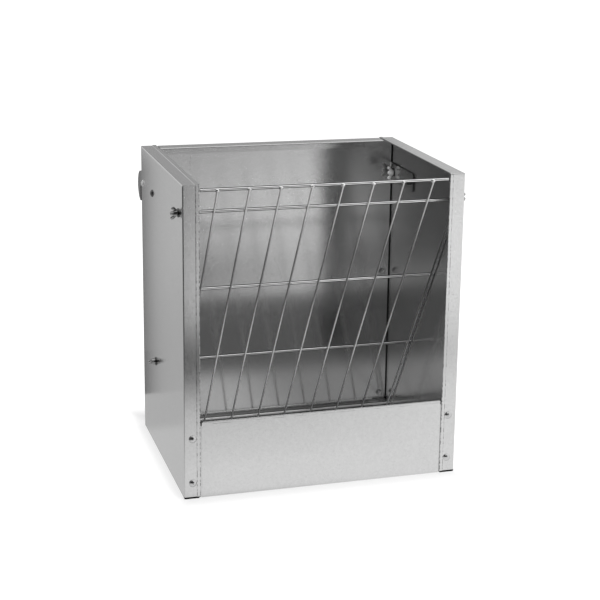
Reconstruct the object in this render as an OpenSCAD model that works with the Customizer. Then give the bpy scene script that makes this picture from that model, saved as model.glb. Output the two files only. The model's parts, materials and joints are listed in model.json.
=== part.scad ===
// Hay rack box of folded galvanised sheet, with a leaning welded wire grille that holds the hay
// against the back panel and a low tray in front that catches what falls.
// X runs across the front, Y from front to back and Z up. All sizes are in millimetres.
// The origin is the middle of the base, under the centre of the whole outline.

/* [Box] */
// Width over the side panels
box_w = 450; // [380:5:600]
// Depth from the front hems to the back hems
box_d = 340; // [300:5:420]
// Height of the side panels
box_h = 500; // [440:5:600]
// Thickness of the sheet
sheet_t = 1; // [0.8:0.1:1.2]
// Inside radius of a fold
bend_r = 1; // [0.6:0.1:1.5]

/* [Side panels] */
// Width of the front flange
front_flange_w = 26; // [24:1:34]
// Width of the top flange
top_flange_w = 26; // [24:1:34]
// Width of the back flange
back_flange_w = 26; // [24:1:34]
// Width of the bottom flange
bottom_flange_w = 24; // [16:1:26]
// Width of the hem folded onto the outside of a flange
hem_w = 6; // [4:0.5:6]
// Slit between the end of an upright flange and the top flange
top_slit = 0.4; // [0.2:0.1:1]
// Slit between the end of an upright flange and the bottom flange
foot_slit = 1.4; // [0.8:0.1:3]

/* [Back panel] */
// Open corner between the back panel and a side panel
corner_gap = 3.5; // [3.2:0.1:6]
// Depth of the top flange that comes forward
back_top_w = 28; // [18:1:36]
// Height of the lip turned down from that flange
back_lip_h = 11; // [6:1:20]
// Open gap beside the back top flange
back_end_gap = 2; // [1:0.5:5]
// Height of the lower edge of the back panel above the bottom flanges
back_foot_gap = 1.5; // [0.5:0.5:5]
// Gap between the upper edge of the back panel and the side top flanges
back_head_gap = 1; // [0.5:0.5:4]

/* [Feed tray] */
// Height of the low front wall
front_wall_h = 126; // [115:1:160]
// Width of the hem along the top of the front wall
wall_hem_w = 4; // [3:0.5:8]
// Radius of the top corners of the front wall
wall_corner_r = 2.5; // [1:0.5:3.5]
// Open gap between the front wall and a front flange
wall_gap = 2; // [1:0.5:4]
// Distance of the tab tops below the top of the front wall
tab_drop = 7; // [5:1:12]
// Height of the rear upstand
upstand_h = 14; // [11:0.5:15]
// Outside radius of the folds in the tray
tray_bend = 3.4; // [3.4:0.1:5]
// Width of the joggled strip where both levels meet
joggle_w = 2; // [1.5:0.5:4]

/* [Grille] */
// Diameter of the cross rails
rail_d = 5.5; // [5:0.1:5.9]
// Diameter of the upright bars
bar_d = 3.1; // [2.5:0.1:4]
// Distance from the outer face of a side panel to the nearest bar
bar_margin = 4.5; // [4:0.1:8]
// Height of the top rail below the top of the box
top_rail_drop = 10; // [9:0.5:20]
// Distance of the front of the top rail behind the front hems
top_rail_in = 0.8; // [0:0.1:2.5]
// Gap between an end of the top rail and the front flange
top_rail_gap = 1.6; // [0.8:0.1:3]
// Spacing of the two upper rails along the grille
top_pitch = 46; // [30:1:70]
// Distance from the rear upstand to the bottom rail
rail_foot_gap = 9; // [2:0.5:20]
// Length of bar past the end rails
bar_over = 1.5; // [1:0.1:3]

/* [Hook plates] */
// Thickness of the hook plate
hook_t = 2.5; // [2:0.1:2.6]
// Height of the hook plate
hook_plate_h = 32; // [26:1:40]
// Length of the hook plate inside the box
hook_plate_l = 116; // [110:1:140]
// Height of the hook bolts below the top of the box
hook_drop = 62; // [50:1:100]
// Distance that the hook reaches behind the back hems
hook_reach = 38; // [34:1:44]
// Radius of the outer arc of the hook
hook_r = 26; // [23:1:30]
// Opening between the hook and the back hems
hook_throat = 15; // [10:1:18]
// Radius of the front corners of the hook plate
hook_corner_r = 4; // [2:0.5:8]
// Gap between the wings of the rear hook nut and the back panel
hook_nut_clear = 1.4; // [0.8:0.2:4]
// Distance from the back hems to the front hook bolt
hook_front_in = 100; // [80:1:103]

/* [Fasteners] */
// Diameter of the thread
thread_d = 6; // [5.9:0.1:6.2]
// Diameter of a hole for the thread
hole_d = 6.6; // [6.4:0.1:7]
// Diameter of a round bolt head
head_d = 12; // [10:0.5:12]
// Height of a round bolt head
head_h = 3.6; // [2.5:0.1:4.5]
// Height of the straight rim of a round head
head_rim_h = 0.6; // [0.3:0.1:1]
// Width of a nut across its flats
nut_af = 10; // [9:0.5:10.5]
// Thickness of a nut
nut_h = 5; // [4:0.5:6]
// Length of thread past a nut
thread_over = 2; // [1:0.5:4]
// Outside diameter of a washer
washer_d = 14; // [11:0.5:16]
// Thickness of a washer
washer_t = 1.2; // [0.8:0.1:1.6]
// Distance from the outer face of a side panel to a flange bolt
flange_bolt_in = 13.5; // [13:0.5:13.5]
// Height of the lower front bolts
front_bolt_z1 = 26; // [20:1:40]
// Height of the upper front bolts
front_bolt_z2 = 99; // [80:1:105]
// Height of the lower back bolts
back_bolt_z1 = 22; // [21.5:0.5:40]
// Height of the upper back bolts
back_bolt_z2 = 254; // [200:1:300]

/* [Wing nuts] */
// Diameter of the hub at its base
hub_d1 = 11; // [10:0.5:13]
// Diameter of the hub at its top
hub_d2 = 9.2; // [8.6:0.2:10]
// Height of the hub
hub_h = 7; // [6:0.5:9]
// Distance from the axis to a wing tip
wing_r = 13; // [12:0.5:14]
// Height of the wing tips above the base
wing_h = 13; // [11:0.5:15]
// Thickness of a wing
wing_t = 2.4; // [1.8:0.1:3]
// Radius of a wing tip
wing_tip_r = 3.3; // [2.5:0.1:3.8]
// Length of threaded rail end outside the side panel
stud_out = 12.5; // [11:0.5:16]
// Turn of the upper outer wing nuts from upright
upper_nut_turn = 25; // [0:5:175]
// Turn of the lower outer wing nuts from upright
lower_nut_turn = 75; // [0:5:175]
// Turn of the hook wing nuts from upright
hook_nut_turn = 5; // [0:5:175]

/* [Fits] */
// Gap between sheets that lie on each other
sheet_fit = 0.1; // [0.05:0.05:0.15]
// Gap between parts that stand beside each other
side_fit = 0.3; // [0.2:0.1:0.5]
// Gap at a weld between a rail and a bar
weld_fit = 0.05; // [0.02:0.01:0.1]
// Radial clearance of a nut on its thread
thread_fit = 0.05; // [0.03:0.01:0.08]
// Gap between a wing nut and its washer
seat_fit = 0.05; // [0.03:0.01:0.1]

/* [Hidden] */
$fn = 48;
eps = 0.01;
bar_count = 10;

// Sheet levels, measured inward from the outer faces
bend_o = bend_r + sheet_t;
flange_y0 = sheet_t;
flange_y1 = 2 * sheet_t;
rear_y1 = box_d - sheet_t;
rear_y0 = box_d - 2 * sheet_t;
top_z1 = box_h - sheet_t;
top_z0 = box_h - 2 * sheet_t;
upright_z0 = sheet_t + foot_slit;
upright_z1 = top_z0 - top_slit;
web_x = box_w / 2 - sheet_t;

// Back panel
back_y1 = rear_y0 - sheet_fit;
back_y0 = back_y1 - sheet_t;
back_half_w = web_x - corner_gap;
back_top_half_w = box_w / 2 - top_flange_w - back_end_gap;
back_z0 = sheet_t + back_foot_gap;
back_z1 = top_z0 - back_head_gap;

// Feed tray: two levels of the same folded sheet, the middle flush with the side flanges
step = sheet_t + sheet_fit;
tray_y0 = flange_y0;
tray_y1 = back_y0 - side_fit;
tray_half_w = box_w / 2 - front_flange_w - wall_gap;
tab_half_w = web_x - bend_r - sheet_fit;
tab_top_z = front_wall_h - tab_drop;
floor_z = step + sheet_t;

// Grille, leaning from the front at the top to the back at the bottom
rail_r = rail_d / 2;
bar_r = bar_d / 2;
bar_offset = rail_r + bar_r + weld_fit;
foot_y = tray_y1 - step - sheet_t - rail_foot_gap - rail_r;
head_z = box_h - top_rail_drop;
head_y = top_rail_in + rail_r;
// Slope down to the tray floor, near enough to stand the bar ends just clear of it
foot_lean = atan((foot_y - head_y) / (head_z - floor_z));
foot_z = floor_z + side_fit + bar_over * cos(foot_lean) + (bar_offset + bar_r) * sin(foot_lean);
lean = atan((foot_y - head_y) / (head_z - foot_z));
grille_l = norm([foot_y - head_y, head_z - foot_z]);
low_pitch = (grille_l - top_pitch) / 3;
rail_s = [0, top_pitch, top_pitch + low_pitch, top_pitch + 2 * low_pitch, grille_l];
bar_half_w = box_w / 2 - bar_margin;
bar_pitch = 2 * bar_half_w / (bar_count - 1);
bar_front_y = head_y - bar_over * sin(lean) - (bar_offset + bar_r) * cos(lean);
mouth_half_w = box_w / 2 - front_flange_w;
top_rail_half_l = mouth_half_w - top_rail_gap;
rail_half_l = web_x - side_fit;
stud_x0 = web_x - 2 * side_fit;
stud_x1 = box_w / 2 + stud_out;
stud_bevel = 0.7;

// Hook plates
hook_x1 = web_x - sheet_fit / 2;
hook_x0 = hook_x1 - hook_t;
hook_z = box_h - hook_drop;
hook_z0 = hook_z - hook_plate_h / 2;
hook_z1 = hook_z + hook_plate_h / 2;
hook_y0 = box_d - hook_plate_l;
hook_y1 = box_d + hook_reach;
hook_rear_y = back_y0 - hook_nut_clear - wing_r;
hook_front_y = box_d - hook_front_in;

// Fasteners
bolt_r = thread_d / 2;
nut_bore_r = bolt_r + thread_fit;
front_grip = flange_y1 - flange_y0 + sheet_fit + sheet_t;
back_grip = rear_y1 - back_y0;
hook_grip = box_w / 2 - hook_x0;
flange_bolt_x = box_w / 2 - flange_bolt_in;

// Middle of the whole outline from front to back
front_y = min(flange_y0 - head_h, bar_front_y);
mid_y = (front_y + hook_y1) / 2;

zinc_sheet = [0.72, 0.74, 0.75];
zinc_wire = [0.80, 0.81, 0.82];
zinc_bolt = [0.66, 0.67, 0.69];

// Moves the outline so that the origin lies under its middle
module centred() translate([0, -mid_y, 0]) children();

// Turns a drawing of X and Y into a section of Y and Z that runs along X
module along_x(x0, x1) translate([x0, 0, 0]) rotate([90, 0, 90]) linear_extrude(x1 - x0) children();

// Turns a drawing of X and Y into a section of X and Z that runs along Y
module along_y(y0, y1) translate([0, y1, 0]) rotate([90, 0, 0]) linear_extrude(y1 - y0) children();

// Quarter of a ring in the corner towards sx and sy
module bend(outer, inner, sx, sy) {
  intersection() {
    difference() {
      circle(outer);
      circle(inner);
    }
    translate([sx < 0 ? -outer : 0, sy < 0 ? -outer : 0]) square(outer);
  }
}

// Half disc towards +X, the fold of a hem
module hem_fold(r) {
  intersection() {
    circle(r);
    translate([0, -r]) square([r, 2 * r]);
  }
}

// Flange drawn along +X from its fold at the origin, with a hem on the lower side
module hemmed_flange(w) {
  translate([bend_o, bend_o]) bend(bend_o, bend_r, -1, -1);
  translate([bend_o, 0]) square([w - sheet_t - bend_o, sheet_t]);
  translate([w - hem_w, -sheet_t]) square([hem_w - sheet_t, sheet_t]);
  translate([w - sheet_t, 0]) hem_fold(sheet_t);
}

// Plain flange drawn along +X from its fold at the origin
module plain_flange(w) {
  translate([bend_o, bend_o]) bend(bend_o, bend_r, -1, -1);
  translate([bend_o, 0]) square([w - bend_o, sheet_t]);
}

module hole_x(y, z, d) translate([-sheet_t, y, z]) rotate([0, 90, 0]) cylinder(h = 3 * sheet_t, d = d);
module hole_y(x, y, z, d) translate([x, y, z]) rotate([-90, 0, 0]) cylinder(h = 3 * sheet_t, d = d);

function rail_y(s) = head_y + s * sin(lean);
function rail_z(s) = head_z - s * cos(lean);

// Side panel with its outer face at X = 0 and its flanges towards +X
module side_sheet() {
  web_y0 = flange_y0 + bend_o;
  web_y1 = rear_y1 - bend_o;
  translate([0, web_y0, bend_o]) cube([sheet_t, web_y1 - web_y0, top_z1 - 2 * bend_o]);
  translate([0, 0, upright_z0]) linear_extrude(upright_z1 - upright_z0) {
    translate([0, flange_y0]) hemmed_flange(front_flange_w);
    translate([0, rear_y1]) mirror([0, 1]) hemmed_flange(back_flange_w);
  }
  along_y(flange_y0, rear_y1) translate([0, top_z1]) mirror([0, 1]) hemmed_flange(top_flange_w);
  along_y(flange_y1, rear_y0) plain_flange(bottom_flange_w);
}

module side_panel() {
  difference() {
    side_sheet();
    for (i = [1, 3]) hole_x(rail_y(rail_s[i]), rail_z(rail_s[i]), hole_d);
    for (y = [hook_front_y, hook_rear_y]) hole_x(y, hook_z, hole_d);
    for (z = [front_bolt_z1, front_bolt_z2]) hole_y(flange_bolt_in, 0, z, hole_d);
    for (z = [back_bolt_z1, back_bolt_z2]) hole_y(flange_bolt_in, rear_y0 - sheet_t, z, hole_d);
    translate([sheet_t, rear_y0 - bend_o, hook_z0 - side_fit])
      cube([hook_t + 2 * side_fit, bend_o + 3 * sheet_t, hook_plate_h + 2 * side_fit]);
  }
}

module left_side_panel() color(zinc_sheet) centred() translate([-box_w / 2, 0, 0]) side_panel();
module right_side_panel() color(zinc_sheet) mirror([1, 0, 0]) left_side_panel();

// Section of the middle of the back panel, with its top flange and lip
module back_section() {
  translate([back_y0, back_z0]) square([sheet_t, top_z1 - bend_o - back_z0]);
  translate([back_y1 - bend_o, top_z1 - bend_o]) bend(bend_o, bend_r, 1, 1);
  translate([back_y1 - back_top_w + bend_o, top_z0]) square([back_top_w - 2 * bend_o, sheet_t]);
  translate([back_y1 - back_top_w + bend_o, top_z1 - bend_o]) bend(bend_o, bend_r, -1, 1);
  translate([back_y1 - back_top_w, top_z1 - back_lip_h]) square([sheet_t, back_lip_h - bend_o]);
}

module back_panel() color(zinc_sheet) centred() {
  difference() {
    union() {
      along_x(-back_top_half_w, back_top_half_w) back_section();
      translate([-back_half_w, back_y0, back_z0]) cube([2 * back_half_w, sheet_t, back_z1 - back_z0]);
    }
    for (x = [-flange_bolt_x, flange_bolt_x], z = [back_bolt_z1, back_bolt_z2])
      hole_y(x, back_y0 - sheet_t, z, hole_d);
  }
}

// Section of the tray between two depths in from its outer faces
module tray_section(a, b, wall_z, rear_z) {
  translate([tray_y0 + a, tray_bend]) square([b - a, wall_z - tray_bend]);
  translate([tray_y0 + tray_bend, tray_bend]) bend(tray_bend - a, tray_bend - b, -1, -1);
  translate([tray_y0 + tray_bend, a]) square([tray_y1 - tray_y0 - 2 * tray_bend, b - a]);
  translate([tray_y1 - tray_bend, tray_bend]) bend(tray_bend - a, tray_bend - b, 1, -1);
  translate([tray_y1 - b, tray_bend]) square([b - a, rear_z - tray_bend]);
}

// Hems of the front wall, folded outward, and of the upstand, folded inward
module tray_hems() {
  translate([tray_y0 - sheet_t, front_wall_h - wall_hem_w]) square([sheet_t, wall_hem_w - sheet_t]);
  translate([tray_y0, front_wall_h - sheet_t]) rotate(90) hem_fold(sheet_t);
  translate([tray_y1 - 2 * sheet_t, upstand_h - wall_hem_w]) square([sheet_t, wall_hem_w - sheet_t]);
  translate([tray_y1 - sheet_t, upstand_h - sheet_t]) rotate(90) hem_fold(sheet_t);
}

// Front view of the middle of the tray, with rounded top corners
module wall_outline() {
  r = wall_corner_r;
  translate([-tray_half_w, 0]) square([2 * tray_half_w, front_wall_h - r]);
  translate([-tray_half_w + r, front_wall_h - r]) square([2 * (tray_half_w - r), r]);
  for (x = [-tray_half_w + r, tray_half_w - r]) translate([x, front_wall_h - r]) circle(r);
}

module feed_tray() color(zinc_sheet) centred() {
  hem_z = front_wall_h - sheet_t;
  rear_z = upstand_h - sheet_t;
  difference() {
    union() {
      intersection() {
        along_x(-tray_half_w, tray_half_w) {
          tray_section(0, sheet_t, hem_z, rear_z);
          tray_hems();
        }
        along_y(0, box_d) wall_outline();
      }
      for (side = [0, 1]) mirror([side, 0, 0]) {
        along_x(tray_half_w - joggle_w, tray_half_w) tray_section(0, floor_z, tab_top_z, rear_z - sheet_t);
        along_x(tray_half_w - joggle_w, tab_half_w) tray_section(step, floor_z, tab_top_z, rear_z - sheet_t);
      }
    }
    for (x = [-flange_bolt_x, flange_bolt_x], z = [front_bolt_z1, front_bolt_z2])
      hole_y(x, flange_y1 - sheet_t, z, hole_d);
  }
}

// Plain rail along X
module rail(i, half_l) {
  translate([-half_l, rail_y(rail_s[i]), rail_z(rail_s[i])])
    rotate([0, 90, 0]) cylinder(h = 2 * half_l, r = rail_r);
}

// Rail with a threaded stud at each end, through the side panels
module tie_rail(i) {
  translate([0, rail_y(rail_s[i]), rail_z(rail_s[i])]) for (turn = [-90, 90]) rotate([0, turn, 0]) {
    cylinder(h = stud_x0 + eps, r = rail_r);
    translate([0, 0, stud_x0]) cylinder(h = stud_x1 - stud_bevel - stud_x0, r = bolt_r);
    translate([0, 0, stud_x1 - stud_bevel]) cylinder(h = stud_bevel, r1 = bolt_r, r2 = bolt_r - stud_bevel);
  }
}

module top_rail() color(zinc_wire) centred() rail(0, top_rail_half_l);
module upper_tie_rail() color(zinc_wire) centred() tie_rail(1);
module middle_rail() color(zinc_wire) centred() rail(2, rail_half_l);
module lower_tie_rail() color(zinc_wire) centred() tie_rail(3);
module bottom_rail() color(zinc_wire) centred() rail(4, rail_half_l);

// Bar in front of the rails, counted from the left. One that would meet a front flange starts
// at the upper tie rail instead of the top rail.
module bar(i) color(zinc_wire) centred() {
  x = -bar_half_w + (i - 1) * bar_pitch;
  s0 = (abs(x) + bar_r + side_fit > mouth_half_w ? rail_s[1] : rail_s[0]) - bar_over;
  translate([x, head_y, head_z]) rotate([180 + lean, 0, 0])
    translate([0, bar_offset, s0]) cylinder(h = grille_l + bar_over - s0, r = bar_r);
}

// Side view of the hook plate, Y to the right and Z up. Its end is an arc that runs on from the
// upper edge, over a round-topped slot that is open at the bottom.
module hook_outline() {
  arc_y = hook_y1 - hook_r;
  arc_z0 = hook_z1 - 2 * hook_r;
  difference() {
    union() {
      translate([hook_y0, hook_z0 + hook_corner_r])
        square([hook_plate_l, hook_plate_h - 2 * hook_corner_r]);
      translate([hook_y0 + hook_corner_r, hook_z0]) square([arc_y - hook_y0 - hook_corner_r, hook_plate_h]);
      for (z = [hook_z0 + hook_corner_r, hook_z1 - hook_corner_r])
        translate([hook_y0 + hook_corner_r, z]) circle(hook_corner_r);
      intersection() {
        translate([arc_y, hook_z1 - hook_r]) circle(hook_r);
        translate([box_d, arc_z0]) square([hook_reach, 2 * hook_r]);
      }
    }
    translate([box_d, arc_z0]) square([hook_throat, hook_z0 - arc_z0]);
    translate([box_d + hook_throat / 2, hook_z0]) circle(hook_throat / 2);
  }
}

module hook_plate() {
  difference() {
    along_x(hook_x0, hook_x1) hook_outline();
    for (y = [hook_front_y, hook_rear_y])
      translate([hook_x0 - eps, y, hook_z]) rotate([0, 90, 0]) cylinder(h = hook_t + 2 * eps, d = hole_d);
  }
}

module right_hook_plate() color(zinc_bolt) centred() hook_plate();
module left_hook_plate() color(zinc_bolt) mirror([1, 0, 0]) centred() hook_plate();

// Round-headed bolt along +Z with the underside of its head at Z = 0
module bolt(grip, nut_l = nut_h) {
  shank_l = grip + nut_l + thread_over - stud_bevel;
  cap_h = head_h - head_rim_h;
  cap_r = (pow(head_d / 2, 2) + cap_h * cap_h) / (2 * cap_h);
  rotate_extrude() {
    translate([0, -head_rim_h]) square([head_d / 2, head_rim_h]);
    intersection() {
      translate([0, cap_r - head_h]) circle(cap_r);
      translate([0, -head_h]) square([head_d / 2, cap_h]);
    }
    square([bolt_r, shank_l]);
    translate([0, shank_l])
      polygon([[0, 0], [bolt_r, 0], [bolt_r - stud_bevel, stud_bevel], [0, stud_bevel]]);
  }
}

// Hexagon nut from Z = 0 up, with its corners bevelled
module nut() {
  corner_r = nut_af / 2 / cos(30);
  bevel = corner_r - nut_af / 2;
  difference() {
    intersection() {
      cylinder(h = nut_h, r = corner_r, $fn = 6);
      rotate_extrude() polygon([
        [0, 0], [corner_r - bevel / 2, 0], [corner_r, bevel / 2],
        [corner_r, nut_h - bevel / 2], [corner_r - bevel / 2, nut_h], [0, nut_h]
      ]);
    }
    translate([0, 0, -eps]) cylinder(h = nut_h + 2 * eps, r = nut_bore_r);
  }
}

module washer() {
  difference() {
    cylinder(h = washer_t, d = washer_d);
    translate([0, 0, -eps]) cylinder(h = washer_t + 2 * eps, d = hole_d);
  }
}

// Side view of one wing, from the hub outward and up
module wing_outline() {
  root_x = hub_d2 / 2 - wing_t / 4;
  tip_x = wing_r - wing_tip_r;
  tip_z = wing_h - wing_tip_r;
  difference() {
    union() {
      translate([tip_x, tip_z]) circle(wing_tip_r);
      polygon([
        [root_x, 0.1 * hub_h], [hub_d1 / 2, 0.1 * hub_h],
        [tip_x + wing_tip_r * cos(35), tip_z - wing_tip_r * sin(35)],
        [tip_x - wing_tip_r * cos(35), tip_z + wing_tip_r * sin(35)],
        [root_x, 0.95 * hub_h]
      ]);
    }
    translate([tip_x + 1.25 * wing_tip_r, 0]) circle(wing_tip_r);
  }
}

// Wing nut from Z = 0 up, with its wings in the plane of X and Z
module wing_nut() {
  difference() {
    union() {
      cylinder(h = hub_h, d1 = hub_d1, d2 = hub_d2);
      for (turn = [0, 180])
        rotate([0, 0, turn]) translate([0, wing_t / 2, 0]) rotate([90, 0, 0])
          linear_extrude(wing_t) wing_outline();
    }
    translate([0, 0, -eps]) cylinder(h = hub_h + 2 * eps, r = nut_bore_r);
  }
}

// Places children on the end of tie rail i at the right side, pointing outward
module on_rail_end(i) {
  translate([box_w / 2, rail_y(rail_s[i]), rail_z(rail_s[i])]) rotate([0, 90, 0]) children();
}

// Places children on the inner face of the right hook plate, pointing inward
module on_hook(y) translate([hook_x0, y, hook_z]) rotate([0, -90, 0]) children();

// Places children on the outer face of the right side panel, pointing inward
module on_side(y) translate([box_w / 2, y, hook_z]) rotate([0, -90, 0]) children();

module both_sides() {
  for (side = [0, 1]) mirror([side, 0, 0]) children();
}

// Wing nut on its washer, turned from upright
module seated_wing_nut(turn) translate([0, 0, washer_t + seat_fit]) rotate([0, 0, turn]) wing_nut();

module rail_nut(i, turn) on_rail_end(i) seated_wing_nut(turn);
module hook_nut() on_hook(hook_rear_y) seated_wing_nut(hook_nut_turn);

module right_upper_wing_nut() color(zinc_bolt) centred() rail_nut(1, upper_nut_turn);
module left_upper_wing_nut() color(zinc_bolt) mirror([1, 0, 0]) right_upper_wing_nut();
module right_lower_wing_nut() color(zinc_bolt) centred() rail_nut(3, lower_nut_turn);
module left_lower_wing_nut() color(zinc_bolt) mirror([1, 0, 0]) right_lower_wing_nut();
module right_hook_wing_nut() color(zinc_bolt) centred() hook_nut();
module left_hook_wing_nut() color(zinc_bolt) mirror([1, 0, 0]) right_hook_wing_nut();

module rail_washers() color(zinc_bolt) centred() both_sides() for (i = [1, 3]) on_rail_end(i) washer();
module hook_washers() color(zinc_bolt) centred() both_sides() on_hook(hook_rear_y) washer();

module front_flange_bolts() color(zinc_bolt) centred() both_sides()
  for (z = [front_bolt_z1, front_bolt_z2])
    translate([flange_bolt_x, flange_y0, z]) rotate([-90, 0, 0]) bolt(front_grip);

module front_flange_nuts() color(zinc_bolt) centred() both_sides()
  for (z = [front_bolt_z1, front_bolt_z2])
    translate([flange_bolt_x, flange_y0 + front_grip, z]) rotate([-90, 0, 0]) nut();

module back_panel_bolts() color(zinc_bolt) centred() both_sides()
  for (z = [back_bolt_z1, back_bolt_z2])
    translate([flange_bolt_x, rear_y1, z]) rotate([90, 0, 0]) bolt(back_grip);

module back_panel_nuts() color(zinc_bolt) centred() both_sides()
  for (z = [back_bolt_z1, back_bolt_z2])
    translate([flange_bolt_x, back_y0, z]) rotate([90, 0, 0]) nut();

module hook_rear_bolts() color(zinc_bolt) centred() both_sides()
  on_side(hook_rear_y) bolt(hook_grip + washer_t + seat_fit, hub_h);

module hook_front_bolts() color(zinc_bolt) centred() both_sides() on_side(hook_front_y) bolt(hook_grip);
module hook_front_nuts() color(zinc_bolt) centred() both_sides() on_hook(hook_front_y) nut();

left_side_panel();
right_side_panel();
back_panel();
feed_tray();
top_rail();
upper_tie_rail();
middle_rail();
lower_tie_rail();
bottom_rail();
bar(1);  // bar_01
bar(2);  // bar_02
bar(3);  // bar_03
bar(4);  // bar_04
bar(5);  // bar_05
bar(6);  // bar_06
bar(7);  // bar_07
bar(8);  // bar_08
bar(9);  // bar_09
bar(10);  // bar_10
left_hook_plate();
right_hook_plate();
left_upper_wing_nut();
left_lower_wing_nut();
right_upper_wing_nut();
right_lower_wing_nut();
left_hook_wing_nut();
right_hook_wing_nut();
rail_washers();
hook_washers();
front_flange_bolts();
front_flange_nuts();
back_panel_bolts();
back_panel_nuts();
hook_rear_bolts();
hook_front_bolts();
hook_front_nuts();
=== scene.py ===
import json
import math
import random

import bmesh
import bpy
from mathutils import Matrix, Vector, noise


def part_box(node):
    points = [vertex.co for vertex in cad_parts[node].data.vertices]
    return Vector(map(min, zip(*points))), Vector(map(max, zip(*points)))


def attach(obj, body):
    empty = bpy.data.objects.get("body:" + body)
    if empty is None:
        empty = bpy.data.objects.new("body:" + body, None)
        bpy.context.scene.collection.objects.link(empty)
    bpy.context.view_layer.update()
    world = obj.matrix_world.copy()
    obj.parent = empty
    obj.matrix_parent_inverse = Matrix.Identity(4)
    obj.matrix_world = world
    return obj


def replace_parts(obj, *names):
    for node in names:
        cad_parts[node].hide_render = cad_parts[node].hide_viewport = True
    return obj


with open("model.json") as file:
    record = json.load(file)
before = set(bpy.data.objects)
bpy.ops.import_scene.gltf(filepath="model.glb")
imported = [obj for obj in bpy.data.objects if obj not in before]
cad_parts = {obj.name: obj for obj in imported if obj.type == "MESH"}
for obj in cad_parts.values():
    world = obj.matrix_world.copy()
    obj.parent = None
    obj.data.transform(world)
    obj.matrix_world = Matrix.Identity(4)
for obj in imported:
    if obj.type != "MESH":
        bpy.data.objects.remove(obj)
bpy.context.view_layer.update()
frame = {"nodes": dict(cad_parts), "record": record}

# Looks for the hay rack box: galvanised sheet, a welded wire grille, wing nuts and bolts,
# on a white studio sweep. Metres, in the frame's own axes.
mm = 0.001
scene = bpy.context.scene

# faces and edges of the box, read from the frame
sideLow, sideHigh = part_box("right_side_panel")
trayLow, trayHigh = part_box("feed_tray")
backLow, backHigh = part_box("back_panel")
frontY, topZ = sideLow.y, sideHigh.z
flangeX, sideX = sideLow.x, sideHigh.x
sheet = 1 * mm
backFace = backHigh.y - sheet


# small helpers for node trees
def link(tree, source, sink):
    tree.links.new(source, sink)


def addNode(tree, kind, x, y, **settings):
    node = tree.nodes.new(kind)
    node.location = (x, y)
    for name, value in settings.items():
        setattr(node, name, value)
    return node


def mathNode(tree, operation, a, b, x, y, clamp=False):
    # a and b are sockets or plain numbers
    node = addNode(tree, "ShaderNodeMath", x, y, operation=operation, use_clamp=clamp)
    for socket, value in zip(node.inputs, (a, b)):
        if isinstance(value, (int, float)):
            socket.default_value = value
        else:
            link(tree, value, socket)
    return node.outputs[0]


def noiseNode(tree, vector, scale, detail, roughness, x, y):
    node = addNode(tree, "ShaderNodeTexNoise", x, y)
    node.inputs["Scale"].default_value = scale
    node.inputs["Detail"].default_value = detail
    node.inputs["Roughness"].default_value = roughness
    link(tree, vector, node.inputs["Vector"])
    return node.outputs["Fac"]


def rampNode(tree, value, stops, x, y):
    # stops are (position, grey level)
    node = addNode(tree, "ShaderNodeValToRGB", x, y)
    elements = node.color_ramp.elements
    while len(elements) < len(stops):
        elements.new(0.5)
    for element, (place, grey) in zip(elements, stops):
        element.position = place
        element.color = (grey, grey, grey, 1)
    link(tree, value, node.inputs[0])
    return node.outputs[0]


def bandNode(tree, value, place, half, x, y):
    # 1 where the value lies within half of the place
    node = addNode(tree, "ShaderNodeMath", x, y, operation="COMPARE")
    link(tree, value, node.inputs[0])
    node.inputs[1].default_value = place
    node.inputs[2].default_value = half
    return node.outputs[0]


def scaled(tree, vector, factors, x, y):
    node = addNode(tree, "ShaderNodeVectorMath", x, y, operation="MULTIPLY")
    link(tree, vector, node.inputs[0])
    node.inputs[1].default_value = factors
    return node.outputs[0]


def tintNode(tree, colour, factor, x, y):
    node = addNode(tree, "ShaderNodeVectorMath", x, y, operation="SCALE")
    link(tree, colour, node.inputs[0])
    link(tree, factor, node.inputs["Scale"])
    return node.outputs[0]


def centred(tree, value, amount, x, y):
    # turns 0..1 noise into a signed change of that amount, a socket or a plain number
    shifted = mathNode(tree, "SUBTRACT", value, 0.5, x, y)
    return mathNode(tree, "MULTIPLY", shifted, amount, x + 160, y)


def newGroup(name, inputs, outputs):
    group = bpy.data.node_groups.new(name, "ShaderNodeTree")
    for label, kind, value in inputs:
        socket = group.interface.new_socket(label, in_out="INPUT", socket_type=kind)
        if value is not None:
            socket.default_value = value
    for label, kind in outputs:
        group.interface.new_socket(label, in_out="OUTPUT", socket_type=kind)
    come = addNode(group, "NodeGroupInput", -1200, 0)
    go = addNode(group, "NodeGroupOutput", 900, 0)
    return group, come, go


# zinc coat: crystal cells, fine grain, dark pin pricks, handling marks; scales are per metre
coatLook = {
    "fineScale": 1100, "prickScale": 520, "prickStops": [(0.66, 0), (0.74, 1)],
    "patchScale": 14, "wipeScale": 3.5, "crystalHeight": 0.35, "bumpStrength": 0.6,
}


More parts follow.
